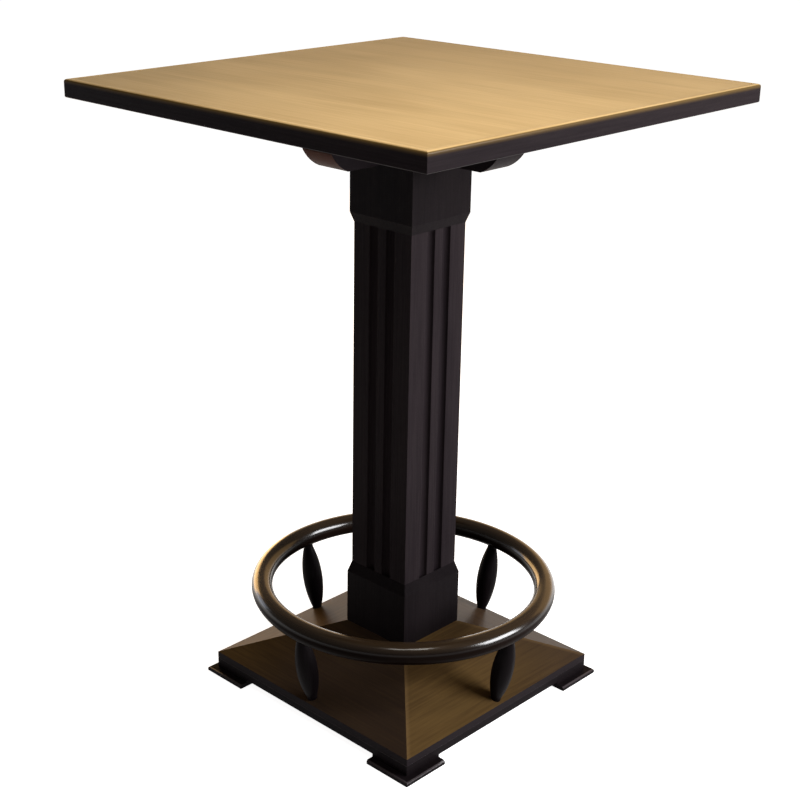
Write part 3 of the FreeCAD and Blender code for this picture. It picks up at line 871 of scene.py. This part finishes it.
class PUBTABLE_OT_feet(bpy.types.Operator):
    """Finish the four corner feet"""

    bl_idname = "pub_table.feet"
    bl_label = "Feet"

    def execute(self, context):
        stain = edge_stain(context.scene.pub_table_finishes, "x")
        for corner in CORNERS:
            soften(f"foot_slab_{corner}", f"foot_plate_{corner}",
                   context.scene.pub_table_sizes.board_edge, stain)
            wear_nodes(stain, f"foot_riser_{corner}")
        return {"FINISHED"}


class PUBTABLE_OT_foot_ring(bpy.types.Operator):
    """Finish the foot ring and its dowels"""

    bl_idname = "pub_table.foot_ring"
    bl_label = "Foot ring"

    def execute(self, context):
        finishes = context.scene.pub_table_finishes
        wear_nodes(make_ring_lacquer(finishes), *(f"ring_segment_{side}" for side in SIDE_WAYS))
        wear_nodes(make_raw_wood(finishes, "dowel wood", "x"), "ring_dowels")
        return {"FINISHED"}


class PUBTABLE_OT_spindles(bpy.types.Operator):
    """Finish the four turned spindles"""

    bl_idname = "pub_table.spindles"
    bl_label = "Spindles"

    def execute(self, context):
        finishes = context.scene.pub_table_finishes
        stain = make_stain(finishes, "spindle stain", "z", gloss=0.01, brightness=DARK_SPINDLE)
        wear_nodes(stain, *(f"spindle_{side}" for side in SIDE_WAYS))
        return {"FINISHED"}


class PUBTABLE_OT_fasteners(bpy.types.Operator):
    """Make the threaded tie rod, its nuts and washers, and the cross-head screws"""

    bl_idname = "pub_table.fasteners"
    bl_label = "Fasteners"

    def execute(self, context):
        sizes = context.scene.pub_table_sizes
        steel = make_steel(context.scene.pub_table_finishes)
        bearer_head, foot_head = sizes.bearer_screw_head / 2, sizes.foot_screw_head / 2
        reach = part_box("bearer_screws")[1].x - bearer_head
        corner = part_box("foot_screws")[1].x - foot_head
        made = {
            "tie_rod": threaded_rod("threaded_tie_rod", sizes.rod_pitch, sizes.rod_thread),
            "tie_nuts": rod_nuts("hexagon_nuts", sizes.nut_flats),
            "tie_washers": rod_washers("plain_washers"),
            "bearer_screws": cross_head_screws(
                "bearer_screws", "bearer_wood_screws", bearer_head, sizes.screw_pitch,
                (0, -reach)),
            "foot_screws": cross_head_screws(
                "foot_screws", "foot_wood_screws", foot_head, sizes.screw_pitch,
                (corner, -corner)),
        }
        for node, piece in made.items():
            settle(piece, node, steel)
        return {"FINISHED"}


# ---------------------------------------------------------------- stage

def area_lamp(name, place, target, size, watts, tint):
    """A soft rectangular lamp, its size given as width and height, that points at a target."""
    bpy.ops.object.light_add(type="AREA", location=place)
    lamp = bpy.context.active_object
    lamp.name = name
    lamp.rotation_euler = (Vector(target) - Vector(place)).to_track_quat("-Z", "Y").to_euler()
    lamp.data.shape = "RECTANGLE"
    lamp.data.size, lamp.data.size_y = size
    lamp.data.energy = watts
    lamp.data.color = tint


def looked_at(finish):
    """Whether a ray comes straight from the camera, off a mirroring surface or through glass."""
    camera, mirrored, through = (finish.node("LightPath", output=f"Is {kind} Ray")
                                 for kind in ("Camera", "Glossy", "Transmission"))
    return finish.maths("MAXIMUM", camera, finish.maths("MAXIMUM", mirrored, through))


def make_floor_paint():
    """Pale floor: white where it is looked at, apart from the table's shadow, and open from
    underneath."""
    finish = new_finish("pale floor")
    plain = finish.node("BsdfDiffuse", inputs={"Color": FLOOR_DIM})
    lit = finish.node("BsdfDiffuse", inputs={"Color": FLOOR_LIT})
    glow = finish.node("Emission", inputs={"Color": WHITE, "Strength": FLOOR_GLOW})
    pale = finish.node("AddShader", inputs={0: lit, 1: glow})
    top_side = finish.node("MixShader", inputs={0: looked_at(finish), 1: plain, 2: pale})
    under = finish.node("NewGeometry", output="Backfacing")
    clear = finish.node("BsdfTransparent")
    return finish.close(finish.node("MixShader", inputs={0: under, 1: top_side, 2: clear}))


def make_backdrop_paint(level):
    """White where it is looked at, and as dim as the surroundings to all other light."""
    finish = new_finish("backdrop")
    dim = finish.node("Emission", inputs={"Color": ROOM_TINT, "Strength": level})
    white = finish.node("Emission", inputs={"Color": WHITE, "Strength": 1.0})
    return finish.close(finish.node("MixShader", inputs={0: looked_at(finish), 1: dim, 2: white}))


def set_world(level):
    """Plain dim surroundings, the same for every ray; floor and wall alone are the background."""
    world = bpy.data.worlds.new("plain surroundings")
    bpy.context.scene.world = world
    finish = Finish(world)
    room = finish.node("Background", inputs={"Color": ROOM_TINT, "Strength": level})
    finish.node("OutputWorld", inputs={"Surface": room})


class PUBTABLE_OT_stage(bpy.types.Operator):
    """Set the floor, the wall, the lamps, the surroundings and the camera"""

    bl_idname = "pub_table.stage"
    bl_label = "Stage"

    def execute(self, context):
        studio = context.scene.pub_table_studio
        self.set_background(context, studio)
        self.set_lamps(studio)
        set_world(studio.surroundings)
        self.set_camera(context, studio)
        context.scene.view_settings.view_transform = "Standard"
        return {"FINISHED"}

    def set_background(self, context, studio):
        """The floor, and a round wall that faces inwards."""
        bpy.ops.mesh.primitive_plane_add(size=FLOOR_WIDTH, location=(0, 0, 0))
        floor = context.active_object
        floor.name = "floor"
        wear(floor, make_floor_paint())
        bpy.ops.mesh.primitive_cylinder_add(
            vertices=WALL_SIDES, radius=WALL_RADIUS, depth=WALL_HEIGHT, end_fill_type="NOTHING",
            location=(0, 0, WALL_HEIGHT / 2))
        wall = context.active_object
        wall.name = "backdrop"
        bpy.ops.object.mode_set(mode="EDIT")
        bpy.ops.mesh.select_all(action="SELECT")
        bpy.ops.mesh.flip_normals()
        bpy.ops.object.mode_set(mode="OBJECT")
        wear(wall, make_backdrop_paint(studio.surroundings))

    def set_lamps(self, studio):
        """A key lamp and one overhead, two warm lamps behind and a cool one on the left."""
        area_lamp("key", (2.9, 1.5, 1.7), (0, 0, 0.5), (1.8, 1.3),
                  studio.key_power, KEY_TINT)
        area_lamp("overhead", (0.52, -0.38, 1.92), (0.2, -0.1, 1.1), (0.6, 0.6),
                  studio.overhead_power, OVERHEAD_TINT)
        area_lamp("warm wall", (-1.4, 2.8, 1.0), (-1.4, 0, 1.0), (5.2, 1.8),
                  studio.wall_power, WARM_TINT)
        area_lamp("warm side", (-2.6, 0.7, 0.55), (0, 0.7, 0.55), (1.8, 1.1),
                  studio.side_power, WARM_TINT)
        area_lamp("cool left", (-2.8, -0.6, 0.6), (0, 0, 0.4), (1.0, 1.0),
                  studio.left_power, COOL_TINT)

    def set_camera(self, context, studio):
        """The camera, turned, dipped and rolled."""
        bpy.ops.object.camera_add()
        camera = context.active_object
        camera.name = "camera"
        turn = Matrix.Rotation(studio.camera_turn, 4, "Z")
        dip = Matrix.Rotation(math.pi / 2 - studio.camera_dip, 4, "X")
        roll = Matrix.Rotation(studio.camera_roll, 4, "Z")
        camera.matrix_world = Matrix.Translation(studio.camera_place) @ turn @ dip @ roll
        camera.data.sensor_width = SENSOR_WIDTH
        camera.data.lens = studio.camera_lens
        camera.data.shift_x, camera.data.shift_y = studio.camera_shift
        context.scene.camera = camera


# ---------------------------------------------------------------- panel and run

OPERATORS = (
    PUBTABLE_OT_top,
    PUBTABLE_OT_bearers,
    PUBTABLE_OT_column,
    PUBTABLE_OT_base,
    PUBTABLE_OT_feet,
    PUBTABLE_OT_foot_ring,
    PUBTABLE_OT_spindles,
    PUBTABLE_OT_fasteners,
    PUBTABLE_OT_stage,
)


class PUBTABLE_PT_panel(bpy.types.Panel):
    """The table's pieces and settings"""

    bl_idname = "PUBTABLE_PT_panel"
    bl_label = "Pub table"
    bl_space_type = "VIEW_3D"
    bl_region_type = "UI"
    bl_category = "Pub table"

    def draw(self, context):
        for group in (context.scene.pub_table_finishes, context.scene.pub_table_sizes,
                      context.scene.pub_table_studio):
            column = self.layout.column(align=True)
            for name in group.bl_rna.properties.keys():
                if name not in ("rna_type", "name"):
                    column.prop(group, name)
        for operator in OPERATORS:
            self.layout.operator(operator.bl_idname)


CLASSES = (PubTableFinishes, PubTableSizes, PubTableStudio, *OPERATORS, PUBTABLE_PT_panel)


def register():
    """Add the settings, the operators and the panel."""
    for item in CLASSES:
        bpy.utils.register_class(item)
    bpy.types.Scene.pub_table_finishes = bpy.props.PointerProperty(type=PubTableFinishes)
    bpy.types.Scene.pub_table_sizes = bpy.props.PointerProperty(type=PubTableSizes)
    bpy.types.Scene.pub_table_studio = bpy.props.PointerProperty(type=PubTableStudio)


def unregister():
    """Take them out again."""
    del bpy.types.Scene.pub_table_studio
    del bpy.types.Scene.pub_table_sizes
    del bpy.types.Scene.pub_table_finishes
    for item in reversed(CLASSES):
        bpy.utils.unregister_class(item)


def main():
    """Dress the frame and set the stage."""
    register()
    for operator in OPERATORS:
        group, name = operator.bl_idname.split(".")
        getattr(getattr(bpy.ops, group), name)()


if __name__ == "__main__":
    main()
